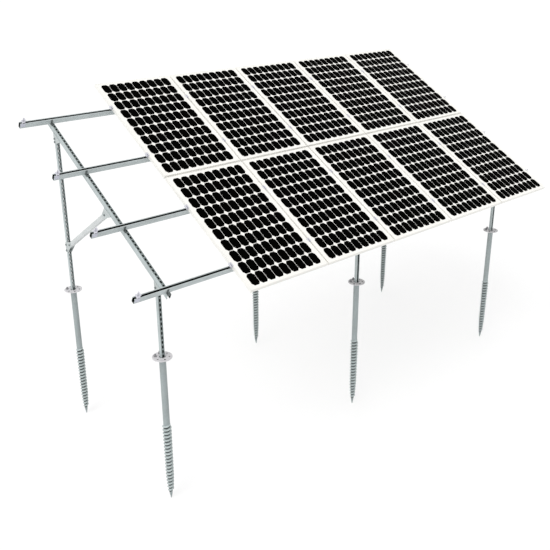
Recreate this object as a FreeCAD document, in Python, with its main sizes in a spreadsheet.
import FreeCAD, Part
import math
import os
import re
import Sketcher
from FreeCAD import Placement, Rotation, Vector

# Ground-mounted solar table: ten panels on four slotted purlins, carried by
# three frames, each with a rafter, two posts and a brace on two ground screws.
# Millimetres. X runs along the rows, Y up the slope to the back, Z is up.
# The origin is under the middle of the table, at the tips of the screws.

SIZES = {
    "panel_width": 992,
    "panel_length": 1650,
    "panel_height": 40,
    "panel_rim": 11,
    "rim_ledge": 5,
    "rim_step": 1.5,
    "glass_thickness": 5,
    "flange_reach": 28,
    "flange_sheet": 2,
    "column_gap": 20,
    "row_gap": 24,
    "column_count": 5,
    "bay_count": 6,
    "table_tilt": 28,
    "strut_width": 41,
    "strut_height": 62,
    "strut_sheet": 2.5,
    "strut_lip": 9.5,
    "lip_return": 7,
    "purlin_overhang": 50,
    "array_low_overhang": 351,
    "array_high_overhang": 435,
    "rafter_overhang": 43,
    "frame_inset": 346,
    "frame_shift": -35,
    "front_rise": 787,
    "front_setback": 206,
    "rear_setback": 174,
    "post_depth": 41,
    "post_socket": 150,
    "brace_depth": 52,
    "brace_foot_rise": 530,
    "brace_head_run": 1106,
    "brace_gap": 2,
    "screw_length": 1700,
    "pipe_diameter": 68,
    "pipe_wall": 3,
    "shaft_sides": 10,
    "point_length": 75,
    "point_diameter": 40,
    "point_flat": 8,
    "collar_diameter": 200,
    "collar_thickness": 8,
    "collar_sides": 24,
    "collar_holes": 6,
    "collar_hole": 18,
    "collar_hole_sides": 8,
    "collar_circle": 140,
    "collar_turn": 20,
    "thread_top": 800,
    "thread_turns": 19,
    "thread_depth": 10,
    "thread_root": 18,
    "cheek_sheet": 5,
    "cheek_drop": 95,
    "cheek_front": 135,
    "cheek_back": 28,
    "cheek_cover": 14,
    "foot_cheek_drop": 60,
    "foot_cheek_reach": 130,
    "head_cheek_length": 130,
    "head_cheek_gap": 5,
    "clamp_length": 50,
    "clamp_sheet": 3,
    "clamp_grip": 8,
    "clamp_ledge": 12,
    "clamp_foot": 27,
    "clamp_play": 0.5,
    "clamp_depth": 24,
}

doc = FreeCAD.newDocument("solar_table")
sheet = doc.addObject("Spreadsheet::Sheet", "Sizes")
for row, (word, number) in enumerate(SIZES.items(), start=1):
    sheet.set(f"A{row}", word)
    sheet.set(f"B{row}", str(number))
    sheet.setAlias(f"B{row}", word)
doc.recompute()

KEPT = []


def bound(text):
    """Point each size word of an expression at its cell of the sheet."""
    return re.sub(r"[a-z]+(?:_[a-z]+)+", lambda m: f"Sizes.{m.group()}", text)


def value(text):
    """Give the number that an expression has now."""
    return float(sheet.evalExpression(bound(text)))


# Worked-out places, as expressions of the sizes.
PURLIN_MIDDLE = "strut_height * 3 / 2"
PANEL_BASE = "strut_height * 2"
PANEL_FACE = f"({PANEL_BASE} + panel_height)"
ARRAY_LENGTH = "(panel_length * 2 + row_gap)"
PURLIN_SPREAD = f"({ARRAY_LENGTH} - array_low_overhang - array_high_overhang)"
RAFTER_LENGTH = f"({PURLIN_SPREAD} + rafter_overhang * 2)"
POST_RUN = f"({RAFTER_LENGTH} - front_setback - rear_setback) * cos(table_tilt)"
FRONT_PURLIN = "(rafter_overhang - front_setback)"
ARRAY_FOOT = f"({FRONT_PURLIN} - array_low_overhang)"
COLUMN_PITCH = "(panel_width + column_gap)"
ARRAY_WIDTH = f"(bay_count * {COLUMN_PITCH} - column_gap)"
MIDDLE_ALONG = f"({ARRAY_FOOT} + {ARRAY_LENGTH} / 2)"
MIDDLE_UP = f"({PANEL_BASE} + panel_height / 2)"
FRONT_LINE = f"({MIDDLE_UP} * sin(table_tilt) - {MIDDLE_ALONG} * cos(table_tilt))"
REAR_LINE = f"({FRONT_LINE} + {POST_RUN})"
FRONT_SEAT = "(screw_length + front_rise)"
REAR_RISE = f"(front_rise + {POST_RUN} * tan(table_tilt))"
BRACE_RISE = f"({REAR_RISE} - brace_head_run * tan(table_tilt) - brace_foot_rise)"
BRACE_SLOPE = f"(atan({BRACE_RISE} / brace_head_run) / 1 deg)"
BRACE_SPAN = f"sqrt(pow({BRACE_RISE}; 2) + pow(brace_head_run; 2))"
PURLIN_COUNT = 4


def purlin_line(index):
    """Distance along the rafters to the middle of a purlin, counted from the front."""
    return f"{FRONT_PURLIN} + {PURLIN_SPREAD} * {index} / {PURLIN_COUNT - 1}"


def frame_x(column):
    """Place of a frame across the table: -1 left, 0 middle, 1 right."""
    return f"frame_shift + {column} * ({ARRAY_WIDTH} / 2 - frame_inset)"


def place(body, x, y, z, turn="0"):
    """Bind a piece's place, and its turn about the X axis, to the sizes."""
    body.Placement = Placement(Vector(), Rotation(Vector(1, 0, 0), 1))
    for axis, text in zip("xyz", (x, y, z)):
        body.setExpression(f"Placement.Base.{axis}", bound(text))
    body.setExpression("Placement.Rotation.Angle", bound(turn))
    KEPT.append(body)


def place_on_slope(body, x, along, up):
    """Place a piece in the tilted frame that starts on the rafters' undersides."""
    y = f"{FRONT_LINE} + ({along}) * cos(table_tilt) - ({up}) * sin(table_tilt)"
    z = f"{FRONT_SEAT} + ({along}) * sin(table_tilt) + ({up}) * cos(table_tilt)"
    place(body, x, y, z, "table_tilt")


def new_body(label):
    body = doc.addObject("PartDesign::Body", label)
    body.AllowCompound = True
    return body


def origin_part(body, role):
    return next(o for o in body.Origin.OriginFeatures if o.Role == role)


def new_sketch(body, role, offset="0"):
    """Attach a sketch to one of the body's own planes, a bound distance off it."""
    sketch = body.newObject("Sketcher::SketchObject", f"{body.Name}_sketch")
    sketch.AttachmentSupport = [(origin_part(body, role), "")]
    sketch.MapMode = "FlatFace"
    sketch.setExpression("AttachmentOffset.Base.z", bound(offset))
    return sketch


def outline(sketch, points):
    """Draw a closed outline whose corners are bound to the sizes."""
    first = sketch.GeometryCount
    count = len(points)
    corners = [Vector(value(x), value(y), 0) for x, y in points]
    for i in range(count):
        sketch.addGeometry(Part.LineSegment(corners[i], corners[(i + 1) % count]), False)
    for i in range(count):
        following = first + (i + 1) % count
        sketch.addConstraint(Sketcher.Constraint("Coincident", first + i, 2, following, 1))
    for i, texts in enumerate(points):
        for kind, text, axis, number in zip(("DistanceX", "DistanceY"), texts, (-2, -1), corners[i]):
            if text == "0":
                sketch.addConstraint(Sketcher.Constraint("PointOnObject", first + i, 1, axis))
            else:
                spot = Sketcher.Constraint(kind, -1, 1, first + i, 1, number)
                index = sketch.addConstraint(spot)
                sketch.setExpression(f"Constraints[{index}]", bound(text))


def rectangle(sketch, left, low, right, high):
    outline(sketch, [(left, low), (right, low), (right, high), (left, high)])


def circle(sketch, x, y, diameter):
    """Draw a circle with its centre and diameter bound to the sizes."""
    shape = Part.Circle(Vector(value(x), value(y), 0), Vector(0, 0, 1), value(diameter) / 2)
    index = sketch.addGeometry(shape, False)
    for kind, text, axis in (("DistanceX", x, -2), ("DistanceY", y, -1)):
        if text == "0":
            sketch.addConstraint(Sketcher.Constraint("PointOnObject", index, 3, axis))
        else:
            spot = Sketcher.Constraint(kind, -1, 1, index, 3, value(text))
            sketch.setExpression(f"Constraints[{sketch.addConstraint(spot)}]", bound(text))
    size = sketch.addConstraint(Sketcher.Constraint("Diameter", index, value(diameter)))
    sketch.setExpression(f"Constraints[{size}]", bound(diameter))


def pad(body, sketch, length, backwards=False):
    feature = body.newObject("PartDesign::Pad", f"{body.Name}_pad")
    feature.Profile = sketch
    feature.Reversed = backwards
    feature.Length = value(length)
    feature.setExpression("Length", bound(length))
    return feature


def pocket(body, sketch, depth):
    feature = body.newObject("PartDesign::Pocket", f"{body.Name}_pocket")
    feature.Profile = sketch
    feature.Length = value(depth)
    feature.setExpression("Length", bound(depth))
    return feature


def row_pattern(body, feature, role, length, count):
    """Repeat a feature in an even row along one of the body's axes."""
    pattern = body.newObject("PartDesign::LinearPattern", f"{body.Name}_row")
    pattern.Originals = [feature]
    pattern.Direction = (origin_part(body, role), [""])
    pattern.Length = value(length)
    pattern.Occurrences = int(value(count))
    pattern.setExpression("Length", bound(length))
    pattern.setExpression("Occurrences", bound(count))
    body.Tip = pattern
    return pattern


def strut_profile(height, opens):
    """Corners of the lipped channel about its middle.

    Its open side is at the high end of the second coordinate where opens is 1, and
    at the low end where it is -1.
    """
    half = "strut_width / 2"
    slot = f"{half} - strut_lip"
    right = [
        (half, "0"), (half, height), (slot, height), (slot, f"{height} - lip_return"),
        (f"{slot} + strut_sheet", f"{height} - lip_return"),
        (f"{slot} + strut_sheet", f"{height} - strut_sheet"),
        (f"{half} - strut_sheet", f"{height} - strut_sheet"),
        (f"{half} - strut_sheet", "strut_sheet"),
    ]
    left = [(f"-({x})", y) for x, y in reversed(right)]
    return [(x, f"{opens} * ({y} - {height} / 2)") for x, y in right + left]


def make_rafter(label, x):
    """A channel up the slope, web upwards, so that the purlins lie on its web."""
    body = new_body(label)
    section = new_sketch(body, "XZ_Plane")
    outline(section, strut_profile("strut_height", -1))
    pad(body, section, RAFTER_LENGTH, backwards=True)
    place_on_slope(body, x, "-front_setback", "strut_height / 2")


def make_purlin(label, index):
    """A channel along the row, open side upwards for the clamps' bolts."""
    body = new_body(label)
    section = new_sketch(body, "YZ_Plane")
    outline(section, strut_profile("strut_height", 1))
    length = f"{ARRAY_WIDTH} + purlin_overhang * 2"
    pad(body, section, length)
    place_on_slope(body, f"-({length}) / 2", purlin_line(index), PURLIN_MIDDLE)


def make_post(label, x, line, rise, opens):
    """A channel cut square under the rafter, with its open side to the front or the back."""
    body = new_body(label)
    section = new_sketch(body, "XY_Plane")
    outline(section, strut_profile("post_depth", opens))
    pad(body, section, f"post_socket + {rise} - post_depth / 2 * tan(table_tilt)")
    place(body, x, line, "screw_length - post_socket")


def make_brace(label, x):
    """A channel from the rear post up and forward to the rafter, web upwards."""
    body = new_body(label)
    section = new_sketch(body, "XZ_Plane")
    outline(section, strut_profile("brace_depth", -1))
    foot = (f"(post_depth / 2 / cos({BRACE_SLOPE}) + brace_depth / 2 * tan({BRACE_SLOPE})"
            " + brace_gap)")
    head = f"(brace_depth / 2 / tan({BRACE_SLOPE} + table_tilt) + brace_gap)"
    pad(body, section, f"{BRACE_SPAN} - {foot} - {head}")
    place(
        body, x,
        f"{REAR_LINE} - {foot} * cos({BRACE_SLOPE})",
        f"screw_length + brace_foot_rise + {foot} * sin({BRACE_SLOPE})",
        f"-{BRACE_SLOPE}",
    )


def slope_point(along, up):
    """Turn a point of the tilted frame into upright coordinates."""
    return (f"({along}) * cos(table_tilt) - ({up}) * sin(table_tilt)",
            f"({along}) * sin(table_tilt) + ({up}) * cos(table_tilt)")


def brace_point(along, up):
    """Turn a point of the brace, from its foot and its axis, into upright coordinates."""
    return (f"-({along}) * cos({BRACE_SLOPE}) + ({up}) * sin({BRACE_SLOPE})",
            f"({along}) * sin({BRACE_SLOPE}) + ({up}) * cos({BRACE_SLOPE})")


def cheek_pair(body, y, z, points):
    """Two like plates round a joint, one on each side of the struts that meet there."""
    section = new_sketch(body, "YZ_Plane", "-strut_width / 2 - cheek_sheet")
    outline(section, [(f"{y} + {along}", f"{z} + {up}") for along, up in points])
    plate = pad(body, section, "cheek_sheet")
    row_pattern(body, plate, "X_Axis", "strut_width + cheek_sheet", "2")


def make_post_heads(label, x):
    """Gusset cheeks that hold a rafter on its front and its rear post."""
    body = new_body(label)
    for line, rise in ((FRONT_LINE, "front_rise"), (REAR_LINE, REAR_RISE)):
        cheek_pair(body, line, rise, [
            slope_point("-cheek_front", "cheek_cover"),
            slope_point("-cheek_front", "0"),
            ("-post_depth / 2", "-cheek_drop"),
            ("post_depth / 2", "-cheek_drop"),
            slope_point("cheek_back", "0"),
            slope_point("cheek_back", "cheek_cover"),
        ])
    place(body, x, "0", "screw_length")


def make_brace_brackets(label, x):
    """Cheeks from the rear post to the foot of the brace, and from its head to the rafter."""
    body = new_body(label)
    cheek_pair(body, REAR_LINE, "brace_foot_rise", [
        ("post_depth / 2", "foot_cheek_drop"),
        brace_point("foot_cheek_reach", "brace_depth / 2"),
        brace_point("foot_cheek_reach", "-brace_depth / 2"),
        ("-post_depth / 2", "-foot_cheek_drop"),
        ("post_depth / 2", "-foot_cheek_drop"),
    ])
    cheek_pair(
        body, f"{REAR_LINE} - brace_head_run", f"{REAR_RISE} - brace_head_run * tan(table_tilt)", [
            slope_point("-head_cheek_length / 2", "cheek_cover"),
            slope_point("-head_cheek_length / 2", "-head_cheek_gap"),
            brace_point("-foot_cheek_reach", "brace_depth / 2"),
            brace_point("-foot_cheek_reach", "-brace_depth / 2"),
            slope_point("head_cheek_length / 2", "-head_cheek_gap"),
            slope_point("head_cheek_length / 2", "cheek_cover"),
        ])
    place(body, x, "0", "screw_length")


def make_panel_frame(label, column, row):
    """An aluminium rim with a rebate for the glass and a turned-in foot flange."""
    body = new_body(label)
    rim = new_sketch(body, "XY_Plane")
    rectangle(rim, "0", "0", "panel_width", "panel_length")
    rectangle(rim, "panel_rim", "panel_rim", "panel_width - panel_rim", "panel_length - panel_rim")
    pad(body, rim, "panel_height")
    foot = new_sketch(body, "XY_Plane")
    rectangle(foot, "0", "0", "panel_width", "panel_length")
    rectangle(foot, "flange_reach", "flange_reach",
              "panel_width - flange_reach", "panel_length - flange_reach")
    pad(body, foot, "flange_sheet")
    rebate = new_sketch(body, "XY_Plane", "panel_height")
    rectangle(rebate, "rim_ledge", "rim_ledge", "panel_width - rim_ledge", "panel_length - rim_ledge")
    pocket(body, rebate, "rim_step + glass_thickness")
    place_on_slope(
        body, f"-{ARRAY_WIDTH} / 2 + {column} * {COLUMN_PITCH}",
        f"{ARRAY_FOOT} + {row} * (panel_length + row_gap)", PANEL_BASE,
    )


def make_glass_row(label, row):
    """The glass laminates of one row, one for each panel that is there."""
    body = new_body(label)
    sheet_outline = new_sketch(body, "XY_Plane")
    rectangle(sheet_outline, "rim_ledge", "rim_ledge",
              "panel_width - rim_ledge", "panel_length - rim_ledge")
    laminate = pad(body, sheet_outline, "glass_thickness")
    row_pattern(body, laminate, "X_Axis", f"(column_count - 1) * {COLUMN_PITCH}", "column_count")
    place_on_slope(
        body, f"-{ARRAY_WIDTH} / 2 + (bay_count - column_count) * {COLUMN_PITCH}",
        f"{ARRAY_FOOT} + {row} * (panel_length + row_gap)",
        f"{PANEL_FACE} - rim_step - glass_thickness",
    )


def make_clamps(label, index):
    """End clamps and middle clamps of one purlin, standing on its lips."""
    body = new_body(label)
    middle = new_sketch(body, "XZ_Plane", "-clamp_length / 2")
    wall = "column_gap / 2 - clamp_play"
    grip = "column_gap / 2 + clamp_grip"
    half = [
        (grip, "panel_height"), (grip, "panel_height + clamp_sheet"),
        (f"{wall} - clamp_sheet", "panel_height + clamp_sheet"),
        (f"{wall} - clamp_sheet", "panel_height - clamp_depth + clamp_sheet"),
    ]
    deep = [(wall, "panel_height - clamp_depth"), (wall, "panel_height")]
    ring = half + [(f"-({x})", y) for x, y in reversed(half)]
    ring += [(f"-({x})", y) for x, y in reversed(deep)] + deep
    outline(middle, ring)
    first = pad(body, middle, "clamp_length")
    row_pattern(body, first, "X_Axis", f"(column_count - 1) * {COLUMN_PITCH}", "column_count")
    for side in (-1, 1):
        edge = (f"-column_gap / 2 - {COLUMN_PITCH} * (bay_count - column_count) + column_gap"
                if side < 0 else f"column_count * {COLUMN_PITCH} - column_gap / 2")
        section = new_sketch(body, "XZ_Plane", "-clamp_length / 2")
        profile = [
            ("-clamp_grip", "panel_height"), ("-clamp_grip", "panel_height + clamp_sheet"),
            ("clamp_play + clamp_sheet", "panel_height + clamp_sheet"),
            ("clamp_play + clamp_sheet", "clamp_ledge + clamp_sheet"),
            ("clamp_foot", "clamp_ledge + clamp_sheet"), ("clamp_foot", "0"),
            ("clamp_foot - clamp_sheet", "0"), ("clamp_foot - clamp_sheet", "clamp_ledge"),
            ("clamp_play + clamp_sheet", "clamp_ledge"), ("clamp_play + clamp_sheet", "0"),
            ("clamp_play", "0"), ("clamp_play", "panel_height"),
        ]
        outline(section, [(f"{edge} + {side} * ({x})", y) for x, y in profile])
        pad(body, section, "clamp_length")
    place_on_slope(
        body, f"-{ARRAY_WIDTH} / 2 + (bay_count - column_count) * {COLUMN_PITCH} - column_gap / 2",
        purlin_line(index), PANEL_BASE,
    )


def polygon(sketch, diameter, sides):
    """Draw an even polygon with its corners on a circle about the origin."""
    turns = [360 * i / sides for i in range(sides)]
    outline(sketch, [(f"{diameter} / 2 * cos({turn})", f"{diameter} / 2 * sin({turn})")
                     for turn in turns])


def make_screw_head(label, hole_sides):
    """Socket for the post, inside the tube, with the collar and its ring of holes.

    With no hole sides given, the holes are round.
    """
    body = new_body(label)
    disc = new_sketch(body, "XY_Plane", "screw_length - collar_thickness")
    polygon(disc, "collar_diameter", COUNTS["collar_sides"])
    pad(body, disc, "collar_thickness")
    tube = new_sketch(body, "XY_Plane", "screw_length - post_socket")
    polygon(tube, "pipe_diameter", COUNTS["shaft_sides"])
    pad(body, tube, "post_socket - collar_thickness")
    bore = new_sketch(body, "XY_Plane", "screw_length")
    polygon(bore, "(pipe_diameter - pipe_wall * 2)", COUNTS["shaft_sides"])
    pocket(body, bore, "post_socket")
    spot = new_sketch(body, "XY_Plane", "screw_length")
    spot.setExpression("AttachmentOffset.Rotation.Angle", bound("collar_turn"))
    if hole_sides:
        turns = [360 * (i + 0.5) / hole_sides for i in range(hole_sides)]
        outline(spot, [(f"collar_circle / 2 + collar_hole / 2 * cos({turn})",
                        f"collar_hole / 2 * sin({turn})") for turn in turns])
    else:
        circle(spot, "collar_circle / 2", "0", "collar_hole")
    hole = pocket(body, spot, "collar_thickness")
    ring = body.newObject("PartDesign::PolarPattern", f"{label}_holes")
    ring.Originals = [hole]
    ring.Axis = (origin_part(body, "Z_Axis"), [""])
    ring.Angle = 360
    ring.Occurrences = COUNTS["collar_holes"]
    ring.setExpression("Occurrences", bound("collar_holes"))
    body.Tip = ring
    return body


def threaded_shaft():
    """Solid shaft from its point up to the post's socket, with a helical thread.

    Its corners lie on a few lines that run up the shaft. A line meets the thread once
    a turn, in three corners: its foot, its crest and its top. The next line meets it a
    little higher, and the last line hands on to the first one, a turn higher. The crest
    leaves the shaft, and comes back to it, over half a turn at each end.
    """
    sides = COUNTS["shaft_sides"]
    turns = COUNTS["thread_turns"]
    tip, ridge_top = value("point_length"), value("thread_top")
    tip_radius, radius = value("point_diameter / 2"), value("pipe_diameter / 2")
    half_root = value("thread_root / 2")
    stop = value("screw_length - post_socket")
    lowest = tip + half_root
    pitch = (ridge_top - half_root - lowest) / turns

    def corner(line, height, shaft_radius, proud=0.0):
        turn = 2 * math.pi * line / sides
        reach = shaft_radius + proud
        return Vector(reach * math.cos(turn), reach * math.sin(turn), height)

    def taper(height):
        return tip_radius + (radius - tip_radius) * (height - tip) / (ridge_top - tip)

    def thread_corners(line, turn):
        step = turn * sides + line
        height = lowest + pitch * step / sides
        rise = min(1, 2 * step / sides, 2 * (turns * sides - step) / sides)
        return [
            corner(line, height - half_root, taper(height - half_root)),
            corner(line, height, taper(height), rise * value("thread_depth")),
            corner(line, height + half_root, taper(height + half_root)),
        ]

    def face(corners):
        return Part.Face(Part.makePolygon(corners + corners[:1]))

    lines = [[thread_corners(line, turn) for turn in range(turns + (line == 0))]
             for line in range(sides)]
    point = [corner(line, 0, value("point_flat / 2")) for line in range(sides)]
    low = [corner(line, tip, tip_radius) for line in range(sides)]
    high = [corner(line, ridge_top, radius) for line in range(sides)]
    head = [corner(line, stop, radius) for line in range(sides)]
    faces = [face(point), face(head)]
    for line in range(sides):
        other = (line + 1) % sides
        ahead = int(other == 0)
        left, right = [low[line]], [low[other]]
        if ahead:
            right += lines[other][0]
        for turn in range(turns):
            ridge, next_ridge = lines[line][turn], lines[other][turn + ahead]
            faces.append(face(right + next_ridge[:1] + ridge[:1] + left[::-1]))
            for foot, crest in ((0, 1), (1, 2)):
                faces.append(face([ridge[foot], next_ridge[foot], next_ridge[crest]]))
                faces.append(face([ridge[foot], next_ridge[crest], ridge[crest]]))
            left, right = ridge[2:], next_ridge[2:]
        if line == 0:
            left = left + lines[0][turns]
        faces.append(face(right + [high[other], high[line]] + left[::-1]))
        faces.append(face([point[line], point[other], low[other], low[line]]))
        faces.append(face([high[line], high[other], head[other], head[line]]))
    skin = Part.makeShell(faces)
    skin.sewShape()
    shaft = Part.makeSolid(skin)
    if shaft.Volume < 0:
        shaft.reverse()
    return shaft


SIDES = ((-1, "left"), (0, "middle"), (1, "right"))
POSTS_OPEN = {"left": 1, "middle": -1, "right": -1}
STATED_COLLARS = ("front_left", "rear_right")
COUNTS = {
    word: round(value(word))
    for word in ("shaft_sides", "collar_sides", "collar_holes", "collar_hole_sides",
                 "thread_turns", "bay_count", "column_count")
}

shaft = threaded_shaft()
round_holed = make_screw_head("round_holed_head", 0)
plain_holed = make_screw_head("plain_holed_head", COUNTS["collar_hole_sides"])
doc.recompute()
screw_forms = {head: head.Shape.fuse(shaft).removeSplitter() for head in (round_holed, plain_holed)}

for end, line, rise in (("front", FRONT_LINE, "front_rise"), ("rear", REAR_LINE, REAR_RISE)):
    for column, side in SIDES:
        x = frame_x(column)
        screw = doc.addObject("Part::Feature", f"ground_screw_{end}_{side}")
        stated = f"{end}_{side}" in STATED_COLLARS
        screw.Shape = screw_forms[round_holed if stated else plain_holed].copy()
        place(screw, x, line, "0")
        make_post(f"{end}_post_{side}", x, line, rise, POSTS_OPEN[side])

for column, side in SIDES:
    x = frame_x(column)
    make_rafter(f"rafter_{side}", x)
    make_post_heads(f"post_heads_{side}", x)
    make_brace(f"brace_{side}", x)
    make_brace_brackets(f"brace_brackets_{side}", x)

for index in range(PURLIN_COUNT):
    make_purlin(f"purlin_{index + 1}", index)
    make_clamps(f"clamps_{index + 1}", index)

for row, level in enumerate(("lower", "upper")):
    make_glass_row(f"{level}_glass", row)
    for column in range(COUNTS["bay_count"] - COUNTS["column_count"], COUNTS["bay_count"]):
        make_panel_frame(f"{level}_panel_frame_{column + 1}", column, row)

doc.recompute()
for item in doc.Objects:
    if "Invalid" in item.State or "Error" in item.State:
        raise RuntimeError(f"{item.Label} did not build: {item.State}")
os.makedirs("parts", exist_ok=True)
for piece in KEPT:
    if piece.Shape.isNull() or not piece.Shape.isValid():
        raise RuntimeError(f"{piece.Label} has no valid shape")
    piece.Shape.exportStep(f"parts/{piece.Label}.step")
